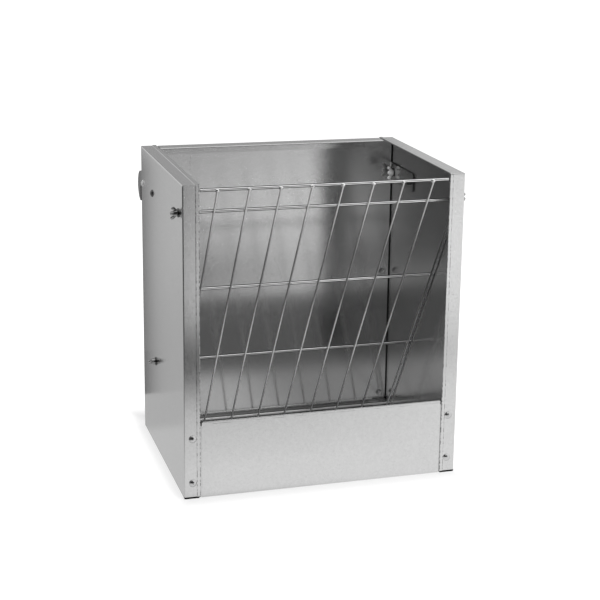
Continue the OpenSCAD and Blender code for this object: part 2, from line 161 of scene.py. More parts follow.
def makeZincCoat():
    group, come, go = newGroup("zincCoat", [
        ("Vector", "NodeSocketVector", None),
        ("Tone", "NodeSocketColor", (0.66, 0.66, 0.66, 1)),
        ("Crystal Size", "NodeSocketFloat", 0.0035),
        ("Crystals", "NodeSocketFloat", 0.05),
        ("Grain", "NodeSocketFloat", 0.12),
        ("Pricks", "NodeSocketFloat", 0.25),
        ("Marks", "NodeSocketFloat", 0.06),
        ("Roughness", "NodeSocketFloat", 0.2),
        ("Roughness Change", "NodeSocketFloat", 0.06),
    ], [
        ("Color", "NodeSocketColor"),
        ("Roughness", "NodeSocketFloat"),
        ("Height", "NodeSocketFloat"),
    ])
    look = coatLook
    vector = come.outputs["Vector"]
    cellScale = mathNode(group, "DIVIDE", 1.0, come.outputs["Crystal Size"], -1000, 300)
    cells = addNode(group, "ShaderNodeTexVoronoi", -800, 300)
    link(group, vector, cells.inputs["Vector"])
    link(group, cellScale, cells.inputs["Scale"])
    parts = addNode(group, "ShaderNodeSeparateColor", -600, 300)
    link(group, cells.outputs["Color"], parts.inputs[0])
    fine = noiseNode(group, vector, look["fineScale"], 2, 0.6, -800, 60)
    dots = noiseNode(group, vector, look["prickScale"], 1, 0.5, -800, -160)
    dots = rampNode(group, dots, look["prickStops"], -600, -160)
    patches = noiseNode(group, vector, look["patchScale"], 3, 0.55, -800, -400)
    wipes = noiseNode(group, vector, look["wipeScale"], 5, 0.7, -800, -600)
    crystal = centred(group, parts.outputs[0], come.outputs["Crystals"], -400, 300)
    grain = centred(group, fine, come.outputs["Grain"], -400, 120)
    marks = centred(group, patches, come.outputs["Marks"], -400, -400)
    pricks = mathNode(group, "MULTIPLY", dots, come.outputs["Pricks"], -240, -160)
    tone = mathNode(group, "ADD", crystal, grain, -60, 240)
    tone = mathNode(group, "ADD", tone, marks, 80, 160)
    tone = mathNode(group, "SUBTRACT", tone, pricks, 220, 80)
    tone = mathNode(group, "ADD", tone, 1.0, 360, 60)
    link(group, tintNode(group, come.outputs["Tone"], tone, 560, 120), go.inputs["Color"])
    dull = centred(group, wipes, 1.0, -600, -640)
    dull = mathNode(group, "ADD", dull, parts.outputs[1], -240, -640)
    dull = mathNode(group, "SUBTRACT", dull, 0.5, -80, -640)
    dull = mathNode(group, "MULTIPLY", dull, come.outputs["Roughness Change"], 80, -640)
    dull = mathNode(group, "ADD", dull, come.outputs["Roughness"], 240, -640)
    link(group, dull, go.inputs["Roughness"])
    height = mathNode(group, "MULTIPLY", parts.outputs[2], look["crystalHeight"], 240, -300)
    height = mathNode(group, "ADD", fine, height, 400, -300)
    height = mathNode(group, "SUBTRACT", height, dots, 560, -300)
    link(group, height, go.inputs["Height"])
    return group


zincCoat = makeZincCoat()

# dark marks where the sheet is folded over on itself: hem steps, raw edges, rolled edges, joints;
# and painted shade: a contact shadow at the feet, and shade under the back lip, in the back corners
# and on the tray floor
foldAndShadeLook = {
    # places, measured from the flange's edge, the wall's top, the box's top or the ground
    "hem": 5.6 * mm, "wallHem": 4.2 * mm, "half": 0.6 * mm, "edgeSpread": 1.1, "skin": 0.4 * mm,
    "ahead": 8 * mm, "foot": 3.4 * mm, "sideFoot": 2.6 * mm, "joint": 2 * mm, "lip": 12 * mm,
    "roll": 2.4 * mm, "gap": 1.9 * mm, "trayZ": 1.5 * mm, "trayStart": 50 * mm,
    "seamX": -141 * mm, "seamHalf": 0.45 * mm, "seamZ": 415 * mm,
    # noise that breaks the lines up
    "dashStretch": (0.2, 1, 1), "dashScale": 230, "dashStops": [(0.42, 1), (0.54, 0.12)],
    "dotScale": 520, "dotStops": [(0.4, 1), (0.55, 0)],
    # how dark each mark is; the foot, side foot, lip, corner and tray marks are painted shade
    "hemDark": 0.55, "topDark": 0.35, "edgeDark": 0.75, "innerRollDark": 0.5, "outerRollDark": 0.2,
    "footShade": 0.97, "jointDark": 0.8, "lipShade": 0.08, "seamDark": 0.5, "cornerShade": 0.93,
    "sideFootShade": 0.35, "trayShade": 0.6,
}


def makeFoldAndShadeMarks():
    group, come, go = newGroup(
        "foldAndShadeMarks", [("Vector", "NodeSocketVector", None)], [("Dark", "NodeSocketFloat")])
    look = foldAndShadeLook
    vector = come.outputs["Vector"]
    axes = addNode(group, "ShaderNodeSeparateXYZ", -1000, 0)
    link(group, vector, axes.inputs[0])
    x, y, z = axes.outputs
    across = mathNode(group, "ABSOLUTE", x, 0.0, -800, 200)

    # regions of the sheet
    def below(value, limit, row):
        return mathNode(group, "LESS_THAN", value, limit, -600, -100 * row)

    def above(value, limit, row):
        return mathNode(group, "GREATER_THAN", value, limit, -600, -100 * row)

    front = below(y, frontY + look["skin"], 0)
    ahead = below(y, frontY + look["ahead"], 1)
    wall = below(y, trayLow.y + look["skin"], 2)
    top = above(z, topZ - look["skin"], 3)
    under = below(z, topZ - look["skin"], 4)
    outside = above(across, flangeX, 5)
    inside = below(across, flangeX, 6)
    high = above(z, look["seamZ"], 7)
    back = above(y, backLow.y - look["skin"], 8)
    inner = below(across, sideX - sheet / 2, 9)
    outer = above(across, sideX - look["skin"], 10)
    behind = above(y, trayLow.y + look["trayStart"], 11)
    rolled = above(z, topZ - look["roll"], 12)
    rear = bandNode(group, y, backFace, look["gap"], -600, -1300)
    dashes = scaled(group, vector, look["dashStretch"], -1000, -1500)
    dashes = noiseNode(group, dashes, look["dashScale"], 2, 0.7, -800, -1500)
    dashes = rampNode(group, dashes, look["dashStops"], -600, -1500)
    dots = noiseNode(group, vector, look["dotScale"], 1, 0.5, -800, -1700)
    dots = rampNode(group, dots, look["dotStops"], -600, -1700)

    # lines and edges
    half = look["half"]
    hem = bandNode(group, across, flangeX + look["hem"], half, -400, 100)
    edge = bandNode(group, across, flangeX + half, look["edgeSpread"] * half, -400, 200)
    wallHem = bandNode(group, z, trayHigh.z - look["wallHem"], half, -400, 300)
    seam = bandNode(group, x, look["seamX"], look["seamHalf"], -400, 400)
    joint = above(z, topZ - look["joint"], 14)
    # painted contact shadow along the bottom of the front flanges
    foot = below(z, look["foot"], 15)
    # painted shade on the back panel's top lip, just under the top
    lip = above(z, topZ - look["lip"], 16)
    # painted shade in the back corners, where the side panels meet the back panel
    gap = above(across, sideX - sheet - look["gap"], 17)
    # painted contact shade along the bottom of the side panels' outer faces
    sideFoot = below(z, look["sideFoot"], 18)
    # painted shade on the tray floor, from behind the front wall to the back
    trayShadeBand = below(z, look["trayZ"], 19)
    outerRoll = above(across, sideX - look["roll"], 20)

    # each mark: the line, the regions that it is kept to, and how dark it is
    marks = [
        (hem, (front, dashes), "hemDark"), (hem, (top,), "topDark"),
        (edge, (front, dashes), "edgeDark"), (edge, (rolled,), "innerRollDark"),
        (wallHem, (wall, inside, dashes), "edgeDark"),
        (joint, (front, outside, dashes), "jointDark"),
        (foot, (ahead, outside), "footShade"), (lip, (back, inside, under), "lipShade"),
        (seam, (back, high, dots), "seamDark"), (gap, (inner, rear), "cornerShade"),
        (sideFoot, (outer,), "sideFootShade"), (trayShadeBand, (behind,), "trayShade"),
        (outerRoll, (rolled,), "outerRollDark"),
    ]
    dark = 0.0
    for row, (line, regions, name) in enumerate(marks):
        for region in regions:
            line = mathNode(group, "MULTIPLY", line, region, 0, -60 * row)
        line = mathNode(group, "MULTIPLY", line, look[name], 160, -60 * row)
        dark = mathNode(group, "MAXIMUM", dark, line, 400, -60 * row)
    link(group, dark, go.inputs["Dark"])
    return group


foldAndShadeMarks = makeFoldAndShadeMarks()


# finishes; "across" is (axis, stops): the tone by the normal, which paints highlights and shade as
# light and dark lines along a wire, a painted reflection; "along" is the tone by height, from 0 at
# the ground to 1 at the top, a painted shade that darkens the bars from the middle up; "stretch"
# draws the marks out along a wire
sheetFinish = {
    "tone": 0.664, "crystal": 0.0032, "crystals": 0.05, "grain": 0.1, "pricks": 0.2,
    "marks": 0.05, "roughness": 0.17, "change": 0.04, "bump": 0.000004, "metal": 0.97,
    "folds": True,
}
# rails: painted reflection, light and dark lines along them by the normal, with dark rims and a
# dark middle
railSheenFinish = {
    "tone": 0.96, "crystal": 0.0016, "crystals": 0.12, "grain": 0.16, "pricks": 0.2,
    "marks": 0.1, "roughness": 0.05, "change": 0.04, "bump": 0.00001, "metal": 0.6,
    "stretch": (0.22, 1, 1),
    "across": (2, [(0.27, 0.03), (0.35, 1), (0.45, 1), (0.51, 0.15),
                   (0.67, 0.15), (0.74, 1), (0.83, 1), (0.88, 0.03)]),
}
# bottom rail: the same painted reflection with a lighter lower rim
bottomRailSheenFinish = dict(railSheenFinish, across=(2, [(0.3, 0.6), (0.4, 1), (0.84, 1), (0.9, 0.15)]))
# bars: painted shade on their left sides by the normal, and painted shade by height, darker from
# the middle up
barShadeFinish = {
    "tone": 1, "crystal": 0.0016, "crystals": 0.12, "grain": 0.1, "pricks": 0.2,
    "marks": 0.1, "roughness": 0.3, "change": 0.04, "bump": 0.00001, "metal": 0.2,
    "stretch": (1, 1, 0.3),
    "across": (0, [(0.0, 0.3), (0.1, 0.4), (0.3, 1), (0.7, 1), (0.9, 0.8)]),
    "along": [(0.22, 1), (0.3, 1), (0.44, 0.85), (0.56, 0.3), (0.71, 0.25), (0.8, 0.38),
              (0.88, 0.58)],
}
weldFinish = {
    "tone": 0.86, "crystal": 0.0008, "crystals": 0.15, "grain": 0.2, "pricks": 0.2,
    "marks": 0.1, "roughness": 0.22, "change": 0.1, "bump": 0.00004,
}
# hook plate: toned a little darker than the sheet, its edges painted dark by the normal, a painted
# shade outline
plateShadeFinish = {
    "tone": 0.58, "crystal": 0.0024, "crystals": 0.06, "grain": 0.12, "pricks": 0.2,
    "marks": 0.08, "roughness": 0.18, "change": 0.05, "bump": 0.000006,
    "across": (0, [(0.1, 1), (0.3, 0.2), (0.7, 0.2), (0.9, 1)]),
}
fastenerFinish = {
    "tone": 0.6, "crystal": 0.0008, "crystals": 0.08, "grain": 0.12, "pricks": 0.2,
    "marks": 0.12, "roughness": 0.18, "change": 0.08, "bump": 0.000006,
}
# washers and the hook's front bolts and nuts: painted shade, zinc toned near black for their dark
# look
washerShadeFinish = {
    "tone": 0.13, "crystal": 0.0008, "crystals": 0.1, "grain": 0.2, "pricks": 0.3,
    "marks": 0.2, "roughness": 0.3, "change": 0.08, "bump": 0.00001,
}
# hook's wing nut and rear bolts: painted highlight, a full white tone and mostly not metal, so that
# the lamps light them brightly
hookNutHighlightFinish = {
    "tone": 1, "crystal": 0.0006, "crystals": 0.1, "grain": 0.1, "pricks": 0.1,
    "marks": 0.05, "roughness": 0.25, "change": 0.08, "bump": 0.00002, "metal": 0.2,
}
# outside wing nuts: cast zinc toned darker than the sheet, a painted shade for their dark look
castShadeFinish = {
    "tone": 0.36, "crystal": 0.0006, "crystals": 0.16, "grain": 0.3, "pricks": 0.4,
    "marks": 0.2, "roughness": 0.24, "change": 0.1, "bump": 0.00003,
}


def zincMaterial(name, finish):
    material = bpy.data.materials.new(name)
    material.use_nodes = True
    tree = material.node_tree
    tree.nodes.clear()
    coords = addNode(tree, "ShaderNodeTexCoord", -900, 0)
    place = coords.outputs["Object"]
    coat = addNode(tree, "ShaderNodeGroup", -450, 0)
    coat.node_tree = zincCoat
    drawn = scaled(tree, place, finish.get("stretch", (1, 1, 1)), -700, 0)
    link(tree, drawn, coat.inputs["Vector"])
    tone = finish["tone"]
    coat.inputs["Tone"].default_value = (tone, tone, tone, 1)
    for socket, key in (("Crystal Size", "crystal"), ("Crystals", "crystals"), ("Grain", "grain"),
                        ("Pricks", "pricks"), ("Marks", "marks"), ("Roughness", "roughness"),
                        ("Roughness Change", "change")):
        coat.inputs[socket].default_value = finish[key]
    colour = coat.outputs["Color"]
    # hem lines and joints, with the painted shade of the fold marks group
    if "folds" in finish:
        folds = addNode(tree, "ShaderNodeGroup", -450, 300)
        folds.node_tree = foldAndShadeMarks
        link(tree, place, folds.inputs["Vector"])
        clear = mathNode(tree, "SUBTRACT", 1.0, folds.outputs["Dark"], -250, 300)
        colour = tintNode(tree, colour, clear, -100, 200)
    # painted highlights and shade by the normal
    if "across" in finish:
        axis, stops = finish["across"]
        sides = addNode(tree, "ShaderNodeSeparateXYZ", -600, 300)
        link(tree, coords.outputs["Normal"], sides.inputs[0])
        turned = mathNode(tree, "MULTIPLY", sides.outputs[axis], 0.5, -450, 300)
        turned = mathNode(tree, "ADD", turned, 0.5, -350, 300)
        colour = tintNode(tree, colour, rampNode(tree, turned, stops, -250, 300), -100, 200)
    # painted shade by height
    if "along" in finish:
        axes = addNode(tree, "ShaderNodeSeparateXYZ", -600, 500)
        link(tree, place, axes.inputs[0])
        high = mathNode(tree, "DIVIDE", axes.outputs[2], topZ, -450, 500)
        colour = tintNode(tree, colour, rampNode(tree, high, finish["along"], -250, 500), -50, 300)
    bump = addNode(tree, "ShaderNodeBump", -200, -240)
    bump.inputs["Strength"].default_value = coatLook["bumpStrength"]
    bump.inputs["Distance"].default_value = finish["bump"]
    link(tree, coat.outputs["Height"], bump.inputs["Height"])
    skin = addNode(tree, "ShaderNodeBsdfPrincipled", 0, 0)
    skin.inputs["Metallic"].default_value = finish.get("metal", 1)
    link(tree, colour, skin.inputs["Base Color"])
    link(tree, coat.outputs["Roughness"], skin.inputs["Roughness"])
    link(tree, bump.outputs[0], skin.inputs["Normal"])
    out = addNode(tree, "ShaderNodeOutputMaterial", 300, 0)
    link(tree, skin.outputs[0], out.inputs[0])
    return material


finishes = {
    "zinc_sheet": zincMaterial("zincSheet", sheetFinish),
    "zinc_wire": zincMaterial("zincRailSheen", railSheenFinish),
    "zinc_plate": zincMaterial("zincPlateShaded", plateShadeFinish),
    "zinc_fastener": zincMaterial("zincFastener", fastenerFinish),
    "cast_zinc": zincMaterial("castZincShaded", castShadeFinish),
}
barMaterial = zincMaterial("zincBarShaded", barShadeFinish)
bottomRailMaterial = zincMaterial("zincBottomRailSheen", bottomRailSheenFinish)
weldMaterial = zincMaterial("zincWeld", weldFinish)
shadedWasherMaterial = zincMaterial("washerPaintedShade", washerShadeFinish)
highlightHookNutMaterial = zincMaterial("castPaintedHighlight", hookNutHighlightFinish)


def pickMaterial(name, slot):
    if name.startswith("bar_"):
        return barMaterial
    if name == "bottom_rail":
        return bottomRailMaterial
    # washers and the hook's front bolts and nuts take the painted-shade finish
    if name.endswith("washers") or name.startswith("hook_front"):
        return shadedWasherMaterial
    # the hook's rear bolts take the painted-highlight finish
    if name == "hook_rear_bolts":
        return highlightHookNutMaterial
    return finishes[slot]


for part in frame["record"]["subparts"]:
    node = frame["nodes"][part["node"]]
    node.data.materials.clear()
    node.data.materials.append(pickMaterial(part["node"], part["material_slot"]))


# where the grille's wires lie, read from the frame
def middle(name):
    low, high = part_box(name)
    return (low + high) / 2


railNames = ["top_rail", "upper_tie_rail", "middle_rail", "lower_tie_rail", "bottom_rail"]
barNames = [f"bar_{i:02d}" for i in range(1, 11)]
railMiddles = [middle(name) for name in railNames]
railRadius = (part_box("top_rail")[1].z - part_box("top_rail")[0].z) / 2
down = (railMiddles[-1] - railMiddles[0]).normalized()
outward = Vector((0, down.z, -down.y))  # away from the rails, to the side that carries the bars


def meshPiece(name, bm, slot, body="rack", material=None):
    for face in bm.faces:
        face.smooth = True
    mesh = bpy.data.meshes.new(name)
    bm.to_mesh(mesh)
    bm.free()
    piece = bpy.data.objects.new(name, mesh)
    scene.collection.objects.link(piece)
    mesh.materials.append(material or finishes[slot])
    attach(piece, body)
    return piece


# weld at each crossing of a bar and a rail; the ones on the top rail are the largest
weldLook = {
    # across the grille, along it, and out of it
    "small": (2.2 * mm, 2.2 * mm, 1.6 * mm), "large": (3.6 * mm, 2.7 * mm, 2.3 * mm),
    "lift": 0.2 * mm, "sizeChange": 0.15, "uneven": 0.22, "lumpScale": 1.7, "lumpSpan": 50,
    "detail": 3, "seed": 7,
}


def addWeld(bm, centre, size, chance):
    made = bmesh.ops.create_icosphere(bm, subdivisions=weldLook["detail"], radius=1)
    squash = Matrix((
        (size[0] * (1 + weldLook["sizeChange"] * chance.uniform(-1, 1)), 0, 0),
        (0, size[1] * (1 + weldLook["sizeChange"] * chance.uniform(-1, 1)), 0),
        (0, 0, size[2])))
    turn = Matrix((Vector((1, 0, 0)), down, outward)).transposed()
    offset = Vector((chance.uniform(0, weldLook["lumpSpan"]), 0, 0))
    for vert in made["verts"]:
        lump = 1 + weldLook["uneven"] * noise.noise(vert.co * weldLook["lumpScale"] + offset)
        vert.co = centre + turn @ (squash @ (vert.co * lump))


def makeWelds():
    chance = random.Random(weldLook["seed"])
    bm = bmesh.new()
    lift = outward * (railRadius + weldLook["lift"])
    for name in barNames:
        low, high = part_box(name)
        for rail in railMiddles:
            if high.z > rail.z - railRadius:
                size = weldLook["large" if rail is railMiddles[0] else "small"]
                addWeld(bm, Vector(((low.x + high.x) / 2, rail.y, rail.z)) + lift, size, chance)
    return meshPiece("grille_welds", bm, "zinc_wire", material=weldMaterial)


makeWelds()
print("welds made")


# cast wing nuts: a turned hub and two rounded wings; the turn is from upright
wingLook = {
    "hubBase": 5.5 * mm, "hubTop": 4.6 * mm, "hubHeight": 7 * mm, "bore": 3.05 * mm,
    "round": 0.7 * mm, "rings": 40,
    # the hub's taper: a part of it, in from the base or out from the top, at a part of the height
    "waist": (0.2, 0.3), "neck": (0.1, 0.85),
    "tip": (8.8 * mm, 7.4 * mm), "tipRadius": 2.8 * mm, "arcFrom": -40, "arcTo": 150,
    "rootLow": (4.6 * mm, 0.8 * mm), "rootHigh": (4.0 * mm, 5.6 * mm),
    "bendLow": (8.0 * mm, 2.4 * mm), "bendHigh": (5.4 * mm, 6.2 * mm),
    "thick": 2.4 * mm, "steps": 10,
    "turns": {"upper": 25, "lower": 75, "hook": 5},
    # through the wing: place from face to face, and how far the outline is drawn in there (mm)
    "layers": [(-1.0, 0.7), (-0.75, 0.25), (-0.3, 0.02), (0.3, 0.02), (0.75, 0.25), (1.0, 0.7)],
}


def curvePoints(start, bend, end, steps):
    return [((1 - t) ** 2 * start[0] + 2 * t * (1 - t) * bend[0] + t * t * end[0],
             (1 - t) ** 2 * start[1] + 2 * t * (1 - t) * bend[1] + t * t * end[1])
            for t in (k / steps for k in range(steps))]


def wingOutline():
    look = wingLook
    tip, radius, steps = look["tip"], look["tipRadius"], look["steps"]

    def onTip(angle):
        turn = math.radians(angle)
        return (tip[0] + radius * math.cos(turn), tip[1] + radius * math.sin(turn))

    start, end, root = look["arcFrom"], look["arcTo"], look["rootHigh"]
    points = curvePoints(look["rootLow"], look["bendLow"], onTip(start), steps)
    points += [onTip(start + (end - start) * k / (2 * steps)) for k in range(2 * steps)]
    return points + curvePoints(onTip(end), look["bendHigh"], root, steps) + [root]


def addRings(bm, rings, closedEnds=True):
    # skin over a row of closed rings with equal numbers of points
    rows = [[bm.verts.new(point) for point in ring] for ring in rings]
    count = len(rows[0])
    for near, far in zip(rows, rows[1:]):
        for k in range(count):
            bm.faces.new((near[k], near[(k + 1) % count], far[(k + 1) % count], far[k]))
    if closedEnds:
        bm.faces.new(list(reversed(rows[0])))
        bm.faces.new(rows[-1])
    return rows


def addWingNut(bm, place):
    look = wingLook
    outline = wingOutline()
    middleX = sum(point[0] for point in outline) / len(outline)
    middleZ = sum(point[1] for point in outline) / len(outline)
    for side in (1, -1):
        rings = []
        for depth, inset in look["layers"]:
            ring = []
            for x, z in outline:
                away = Vector((x - middleX, z - middleZ))
                away *= max(0.0, 1 - inset * mm / max(away.length, mm))
                across, deep = side * (middleX + away.x), side * depth * look["thick"] / 2
                ring.append(place @ Vector((across, deep, middleZ + away.y)))
            rings.append(ring)
        addRings(bm, rings)
    low, high, tall, soft = look["hubBase"], look["hubTop"], look["hubHeight"], look["round"]
    waist, neck, taper = look["waist"], look["neck"], low - high
    bore = look["bore"]
    profile = [(bore, 0), (low - soft / 2, 0), (low, soft / 2),
               (low - waist[0] * taper, waist[1] * tall),
               (high + neck[0] * taper, neck[1] * tall), (high - soft / 2, tall - soft / 4),
               (high - soft, tall), (bore + soft / 2, tall), (bore, tall - soft / 2)]
    rings = []
    for k in range(look["rings"]):
        turn = 2 * math.pi * k / look["rings"]
        x, y = math.cos(turn), math.sin(turn)
        rings.append([place @ Vector((r * x, r * y, z)) for r, z in profile])
    rows = addRings(bm, rings, closedEnds=False)
    for k in range(len(profile)):
        after = (k + 1) % len(profile)
        bm.faces.new((rows[-1][k], rows[-1][after], rows[0][after], rows[0][k]))


def nutPlace(name):
    # axis of the nut, its base and its turn, from the box of the CAD nut
    low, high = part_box(name)
    centre = middle(name)
    side = -1 if name.startswith("left") else 1
    kind = name.split("_")[1]
    turn = math.radians(wingLook["turns"][kind])
    inward = kind == "hook"
    axis = Vector((-side if inward else side, 0, 0))
    base = low.x if axis.x > 0 else high.x
    wing = Vector((0, math.sin(turn), math.cos(turn) if inward else -math.cos(turn)))
    flat = axis.cross(wing)
    place = Matrix((wing, flat, axis)).transposed().to_4x4()
    return Matrix.Translation((base, centre.y, centre.z)) @ place


for name in [n for n in frame["nodes"] if n.endswith("_wing_nut")]:
    bm = bmesh.new()
    addWingNut(bm, nutPlace(name))
    bmesh.ops.recalc_face_normals(bm, faces=bm.faces)
    # the hook's wing nut takes the painted-highlight finish, the others the cast finish with its
    # painted shade
    material = highlightHookNutMaterial if "hook" in name else None
    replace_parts(meshPiece(name + "_cast", bm, "cast_zinc", body=name, material=material), name)
print("wing nuts made")


# thread on the visible ends of the two tie rails
threadLook = {
    "radius": 3.0 * mm, "ridge": 0.28 * mm, "pitch": 1.0 * mm, "flank": 0.42, "around": 24,
    "sink": 0.12 * mm,
    # from the nut to the thread, and from the thread to the rail's end
    "clear": 0.5 * mm, "plain": 1.1 * mm,
}


def addThread(bm, start, axis, length):
    look = threadLook
    side = axis.orthogonal().normalized()
    other = axis.cross(side)
    steps = int(length / look["pitch"] * look["around"])
    rows = []
    for k in range(steps + 1):
        turn = 2 * math.pi * k / look["around"]
        out = side * math.cos(turn) + other * math.sin(turn)
        taper = min(1, k / look["around"], (steps - k) / look["around"])
        centre = start + axis * (length * k / steps)
        foot = centre + out * (look["radius"] - look["sink"])
        crest = centre + out * (look["radius"] + look["ridge"] * taper)
        half = axis * (look["pitch"] * look["flank"])
        rows.append([foot - half, crest, foot + half])
    addRings(bm, rows)


def makeThreads():
    bm = bmesh.new()
    clear, plain = threadLook["clear"], threadLook["plain"]
    for rail in ("upper_tie_rail", "lower_tie_rail"):
        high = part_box(rail)[1]
        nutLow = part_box("right_" + rail.split("_")[0] + "_wing_nut")[0]
        start = nutLow.x + wingLook["hubHeight"] + clear
        length = high.x - start - plain
        centre = middle(rail)
        for side in (1, -1):
            addThread(bm, Vector((side * start, centre.y, centre.z)), Vector((side, 0, 0)), length)
    bmesh.ops.recalc_face_normals(bm, faces=bm.faces)
    return meshPiece("rail_threads", bm, "zinc_wire", material=finishes["zinc_fastener"])


makeThreads()
print("threads made")


# stage: white floor, grey cards that only the metal sees
stageLook = {
    "floorSize": 30.0, "floorTone": 0.3, "floorGlow": 1.0, "contactGlow": 0.64, "sideGlow": 0.74,
    "contactReach": 0.075, "sideFade": 2.6, "cornerSoft": 0.03,
    "worldDiffuse": 0.4, "worldGlow": 1.0,
}


def glowMaterial(name, level):
    # a glow; its level is a number, or a function that makes the level over the card
    material = bpy.data.materials.new(name)
    material.use_nodes = True
    tree = material.node_tree
    tree.nodes.clear()
    glow = addNode(tree, "ShaderNodeEmission", 300, 0)
    if callable(level):
        coords = addNode(tree, "ShaderNodeTexCoord", -900, 0)
        axes = addNode(tree, "ShaderNodeSeparateXYZ", -700, 0)
        link(tree, coords.outputs["Object"], axes.inputs[0])
        link(tree, level(tree, axes.outputs), glow.inputs["Strength"])
    else:
        glow.inputs["Strength"].default_value = level
    out = addNode(tree, "ShaderNodeOutputMaterial", 500, 0)
    link(tree, glow.outputs[0], out.inputs[0])
    return material


def stageObject(name, mesh, material, metalOnly=True):
    plane = bpy.data.objects.new(name, mesh)
    scene.collection.objects.link(plane)
    mesh.materials.append(material)
    if metalOnly:
        plane.visible_camera = False
        plane.visible_diffuse = False
        plane.visible_shadow = False
        plane.visible_transmission = False
        plane.visible_volume_scatter = False


def stagePlane(name, corners, material, metalOnly=True):
    mesh = bpy.data.meshes.new(name)
    mesh.from_pydata(corners, [], [tuple(range(len(corners)))])
    stageObject(name, mesh, material, metalOnly)


def levelCorners(low, high, z):
    return [(low[0], low[1], z), (high[0], low[1], z), (high[0], high[1], z), (low[0], high[1], z)]


def smoothStep(tree, value, low, high, x, y):
    node = addNode(tree, "ShaderNodeMapRange", x, y, interpolation_type="SMOOTHSTEP")
    node.inputs["From Min"].default_value = low
    node.inputs["From Max"].default_value = high
    link(tree, value, node.inputs["Value"])
    return node.outputs["Result"]


# level of the floor as the metal sees it; one row of levels is what the left flange shows,
# the other what the right flange shows, each from far (y = -2.5) to near (y = -0.3)
floorCard = {
    "low": (-3, -4), "high": (4, 4), "lift": 0.5 * mm, "fromY": -2.5, "toY": -0.3,
    "leftRow": [(-2.42, 0.46), (-2.1, 0.53), (-1.86, 0.62), (-1.5, 0.69), (-1.25, 0.69),
                (-1.12, 0.62), (-0.99, 0.2), (-0.88, 0.05), (-0.76, 0.1), (-0.66, 0.5),
                (-0.55, 0.72), (-0.37, 0.84), (-0.3, 0.92)],
    "rightRow": [(-2.3, 1.0), (-2.0, 1.08), (-1.4, 1.06), (-1.2, 1.0), (-1.05, 0.96), (-0.91, 0.87),
                 (-0.79, 0.7), (-0.68, 0.86), (-0.55, 0.95), (-0.3, 0.94)],
    # where the left row lies and how far the right one is from it: at y = 0, and its change with y
    "leftX": (-0.2545, -0.214), "spanX": (0.395, -0.194), "bias": 1.7,
    "dark": 0.08, "darkFrom": -0.75, "darkTo": -0.1,
    # beside the box, left and right of it
    "left": 0.52, "leftNear": 0.62, "leftFrom": 0.16, "leftTo": 0.1,
    "right": 0.86, "rightFrom": -0.2, "rightTo": 0.2, "sideFrom": -0.21, "sideTo": -0.17,
}


def mixLevels(tree, factor, a, b, x, y):
    node = addNode(tree, "ShaderNodeMix", x, y, data_type="FLOAT")
    link(tree, factor, node.inputs["Factor"])
    for label, value in (("A", a), ("B", b)):
        if isinstance(value, (int, float)):
            node.inputs[label].default_value = value
        else:
            link(tree, value, node.inputs[label])
    return node.outputs["Result"]


def lineNode(tree, value, start, slope, x, y):
    return mathNode(tree, "ADD", mathNode(tree, "MULTIPLY", value, slope, x, y), start, x + 120, y)


def placeRamp(tree, value, ends, steps, x, y):
    # levels by place between two ends along one axis
    low, high = ends
    along = addNode(tree, "ShaderNodeMapRange", x - 200, y)
    along.inputs["From Min"].default_value = low
    along.inputs["From Max"].default_value = high
    link(tree, value, along.inputs["Value"])
    stops = [((place - low) / (high - low), level) for place, level in steps]
    return rampNode(tree, along.outputs[0], stops, x, y)


def floorLevel(tree, axes):
    x, y = axes[0], axes[1]
    card = floorCard
    ends = (card["fromY"], card["toY"])
    leftRow = placeRamp(tree, y, ends, card["leftRow"], -500, 0)
    rightRow = placeRamp(tree, y, ends, card["rightRow"], -500, 300)
    left = lineNode(tree, y, *card["leftX"], -700, -200)
    span = lineNode(tree, y, *card["spanX"], -700, -400)
    across = mathNode(tree, "SUBTRACT", x, left, -500, -200)
    across = mathNode(tree, "DIVIDE", across, span, -350, -200, clamp=True)
    across = mathNode(tree, "POWER", across, card["bias"], -250, -100)
    front = mixLevels(tree, across, leftRow, rightRow, -200, 100)
    shade = smoothStep(tree, x, card["darkFrom"], card["darkTo"], -200, -300)
    front = mixLevels(tree, shade, card["dark"], front, 0, 0)
    near = smoothStep(tree, y, card["leftFrom"], card["leftTo"], -200, 700)
    left = mixLevels(tree, near, card["left"], card["leftNear"], 0, 700)
    side = smoothStep(tree, x, card["rightFrom"], card["rightTo"], -100, 500)
    side = mixLevels(tree, side, left, card["right"], 100, 500)
    beside = smoothStep(tree, y, card["sideFrom"], card["sideTo"], 100, 300)
    return mixLevels(tree, beside, front, side, 300, 300)


# grey card behind and to the left of the box: darker at its near end, lighter above the box
leftCard = {
    "level": 0.56, "dark": 0.17, "darkFrom": -0.292, "darkTo": -0.242,
    "low": 0.87, "lowFrom": 0.32, "lowTo": 0.08, "high": 0.85, "highFrom": 0.42, "highTo": 0.55,
    "corner": 0.85, "cornerX": -0.2705, "cornerZ": 0.085,
}


def leftLevel(tree, axes):
    card = leftCard
    dark = smoothStep(tree, axes[0], card["darkFrom"], card["darkTo"], -700, 0)
    level = mixLevels(tree, dark, card["level"], card["dark"], -500, 0)
    low = smoothStep(tree, axes[2], card["lowFrom"], card["lowTo"], -700, 200)
    low = mixLevels(tree, low, 1.0, card["low"], -500, 200)
    level = mathNode(tree, "MULTIPLY", level, low, -300, 100)
    inside = mathNode(tree, "GREATER_THAN", axes[0], card["cornerX"], -700, 400)
    under = mathNode(tree, "LESS_THAN", axes[2], card["cornerZ"], -700, 500)
    corner = mathNode(tree, "MULTIPLY", inside, under, -500, 400)
    corner = mixLevels(tree, corner, 1.0, card["corner"], -300, 400)
    level = mathNode(tree, "MULTIPLY", level, corner, -100, 100)
    high = smoothStep(tree, axes[2], card["highFrom"], card["highTo"], -300, 600)
    return mixLevels(tree, high, level, card["high"], 100, 100)


